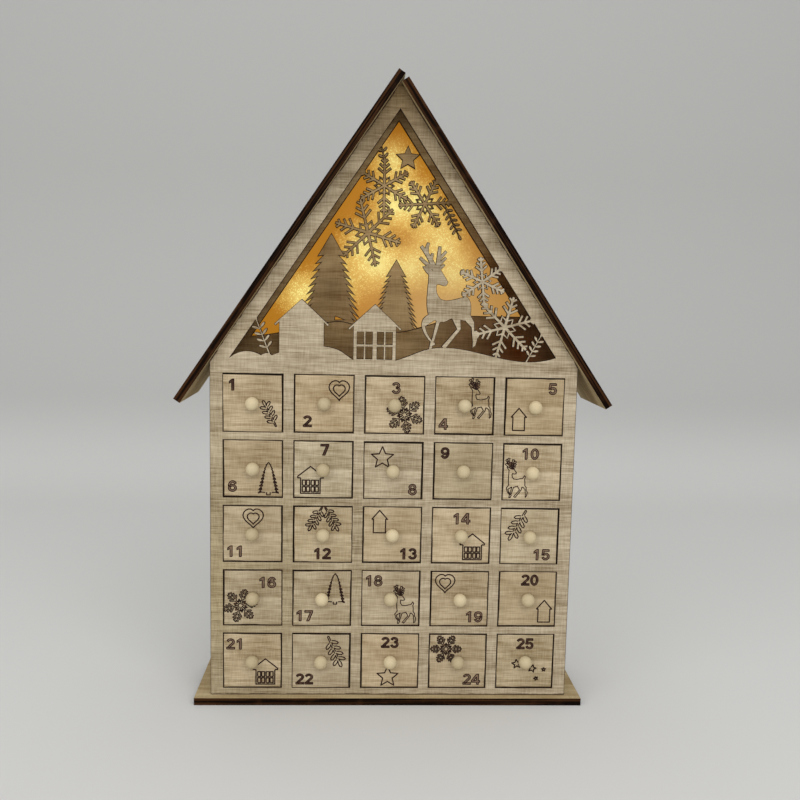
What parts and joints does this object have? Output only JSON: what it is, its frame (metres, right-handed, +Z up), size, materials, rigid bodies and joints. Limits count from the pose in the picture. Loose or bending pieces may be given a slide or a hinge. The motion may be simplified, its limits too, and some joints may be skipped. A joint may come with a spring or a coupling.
{
  "type": "advent calendar house",
  "caption": "House-shaped ply advent calendar with numbered drawers on wooden knobs and a lit cut-out winter scene in its gable.",
  "frame": {"origin": "middle of the base plate's underside", "axes": "+X to the right seen from the front, +Y to the back, +Z up to the ridge"},
  "size_m": [0.2906, 0.0722, 0.4233],
  "materials": {
    "house_ply": "pale sanded ply with scorched cut edges",
    "board_ply": "pale sanded ply with scorched cut edges",
    "inner_ply": "pale sanded ply",
    "scene_ply": "ply in shadow with scorched cut edges",
    "drawer_ply": "pale sanded ply with scorched cut edges",
    "amber_film": "thin amber glitter film",
    "light_bead": "clear warm beads",
    "wire_coat": "thin coated wire",
    "case_plastic": "plain moulded plastic",
    "cell_can": "plain unmarked cans",
    "contact_metal": "plated sprung steel",
    "switch_plastic": "plain moulded plastic"
  },
  "bodies": {
    "carcass": {"base_plate": "board_ply", "front_panel": "house_ply", "back_panel": "house_ply", "side_left": "house_ply", "side_right": "house_ply", "roof_left": "board_ply", "roof_right": "board_ply", "loft_floor": "inner_ply", "scene_panel": "scene_ply", "glow_film": "amber_film", "led_beads": "light_bead", "led_wire": "wire_coat", "battery_case": "case_plastic", "battery_cells": "cell_can", "contact_leaves": "contact_metal", "contact_plates": "contact_metal", "switch_body": "switch_plastic", "shelf_1": "inner_ply", "shelf_2": "inner_ply", "shelf_3": "inner_ply", "shelf_4": "inner_ply", "shelf_5": "inner_ply", "divider_1": "inner_ply", "divider_2": "inner_ply", "divider_3": "inner_ply", "divider_4": "inner_ply"},
    "battery_cover": {"battery_cover": "case_plastic"},
    "switch_slider": {"switch_slider": "switch_plastic"},
    "drawer_01": {"drawer_01": "drawer_ply"},
    "drawer_02": {"drawer_02": "drawer_ply"},
    "drawer_03": {"drawer_03": "drawer_ply"},
    "drawer_04": {"drawer_04": "drawer_ply"},
    "drawer_05": {"drawer_05": "drawer_ply"},
    "drawer_06": {"drawer_06": "drawer_ply"},
    "drawer_07": {"drawer_07": "drawer_ply"},
    "drawer_08": {"drawer_08": "drawer_ply"},
    "drawer_09": {"drawer_09": "drawer_ply"},
    "drawer_10": {"drawer_10": "drawer_ply"},
    "drawer_11": {"drawer_11": "drawer_ply"},
    "drawer_12": {"drawer_12": "drawer_ply"},
    "drawer_13": {"drawer_13": "drawer_ply"},
    "drawer_14": {"drawer_14": "drawer_ply"},
    "drawer_15": {"drawer_15": "drawer_ply"},
    "drawer_16": {"drawer_16": "drawer_ply"},
    "drawer_17": {"drawer_17": "drawer_ply"},
    "drawer_18": {"drawer_18": "drawer_ply"},
    "drawer_19": {"drawer_19": "drawer_ply"},
    "drawer_20": {"drawer_20": "drawer_ply"},
    "drawer_21": {"drawer_21": "drawer_ply"},
    "drawer_22": {"drawer_22": "drawer_ply"},
    "drawer_23": {"drawer_23": "drawer_ply"},
    "drawer_24": {"drawer_24": "drawer_ply"},
    "drawer_25": {"drawer_25": "drawer_ply"}
  },
  "joints": [
    {"name": "drawer_01_slide", "type": "slide", "parent": "carcass", "child": "drawer_01", "axis": [0, -1, 0], "range_m": [0, 0.04]},
    {"name": "drawer_02_slide", "type": "slide", "parent": "carcass", "child": "drawer_02", "axis": [0, -1, 0], "range_m": [0, 0.04]},
    {"name": "drawer_03_slide", "type": "slide", "parent": "carcass", "child": "drawer_03", "axis": [0, -1, 0], "range_m": [0, 0.04]},
    {"name": "drawer_04_slide", "type": "slide", "parent": "carcass", "child": "drawer_04", "axis": [0, -1, 0], "range_m": [0, 0.04]},
    {"name": "drawer_05_slide", "type": "slide", "parent": "carcass", "child": "drawer_05", "axis": [0, -1, 0], "range_m": [0, 0.04]},
    {"name": "drawer_06_slide", "type": "slide", "parent": "carcass", "child": "drawer_06", "axis": [0, -1, 0], "range_m": [0, 0.04]},
    {"name": "drawer_07_slide", "type": "slide", "parent": "carcass", "child": "drawer_07", "axis": [0, -1, 0], "range_m": [0, 0.04]},
    {"name": "drawer_08_slide", "type": "slide", "parent": "carcass", "child": "drawer_08", "axis": [0, -1, 0], "range_m": [0, 0.04]},
    {"name": "drawer_09_slide", "type": "slide", "parent": "carcass", "child": "drawer_09", "axis": [0, -1, 0], "range_m": [0, 0.04]},
    {"name": "drawer_10_slide", "type": "slide", "parent": "carcass", "child": "drawer_10", "axis": [0, -1, 0], "range_m": [0, 0.04]},
    {"name": "drawer_11_slide", "type": "slide", "parent": "carcass", "child": "drawer_11", "axis": [0, -1, 0], "range_m": [0, 0.04]},
    {"name": "drawer_12_slide", "type": "slide", "parent": "carcass", "child": "drawer_12", "axis": [0, -1, 0], "range_m": [0, 0.04]},
    {"name": "drawer_13_slide", "type": "slide", "parent": "carcass", "child": "drawer_13", "axis": [0, -1, 0], "range_m": [0, 0.04]},
    {"name": "drawer_14_slide", "type": "slide", "parent": "carcass", "child": "drawer_14", "axis": [0, -1, 0], "range_m": [0, 0.04]},
    {"name": "drawer_15_slide", "type": "slide", "parent": "carcass", "child": "drawer_15", "axis": [0, -1, 0], "range_m": [0, 0.04]},
    {"name": "drawer_16_slide", "type": "slide", "parent": "carcass", "child": "drawer_16", "axis": [0, -1, 0], "range_m": [0, 0.04]},
    {"name": "drawer_17_slide", "type": "slide", "parent": "carcass", "child": "drawer_17", "axis": [0, -1, 0], "range_m": [0, 0.04]},
    {"name": "drawer_18_slide", "type": "slide", "parent": "carcass", "child": "drawer_18", "axis": [0, -1, 0], "range_m": [0, 0.04]},
    {"name": "drawer_19_slide", "type": "slide", "parent": "carcass", "child": "drawer_19", "axis": [0, -1, 0], "range_m": [0, 0.04]},
    {"name": "drawer_20_slide", "type": "slide", "parent": "carcass", "child": "drawer_20", "axis": [0, -1, 0], "range_m": [0, 0.04]},
    {"name": "drawer_21_slide", "type": "slide", "parent": "carcass", "child": "drawer_21", "axis": [0, -1, 0], "range_m": [0, 0.04]},
    {"name": "drawer_22_slide", "type": "slide", "parent": "carcass", "child": "drawer_22", "axis": [0, -1, 0], "range_m": [0, 0.04]},
    {"name": "drawer_23_slide", "type": "slide", "parent": "carcass", "child": "drawer_23", "axis": [0, -1, 0], "range_m": [0, 0.04]},
    {"name": "drawer_24_slide", "type": "slide", "parent": "carcass", "child": "drawer_24", "axis": [0, -1, 0], "range_m": [0, 0.04]},
    {"name": "drawer_25_slide", "type": "slide", "parent": "carcass", "child": "drawer_25", "axis": [0, -1, 0], "range_m": [0, 0.04]},
    {"name": "battery_cover_slide", "type": "slide", "parent": "carcass", "child": "battery_cover", "axis": [-1, 0, 0], "range_m": [0, 0.045]},
    {"name": "switch_slide", "type": "slide", "parent": "carcass", "child": "switch_slider", "axis": [1, 0, 0], "range_m": [0, 0.004]}
  ]
}
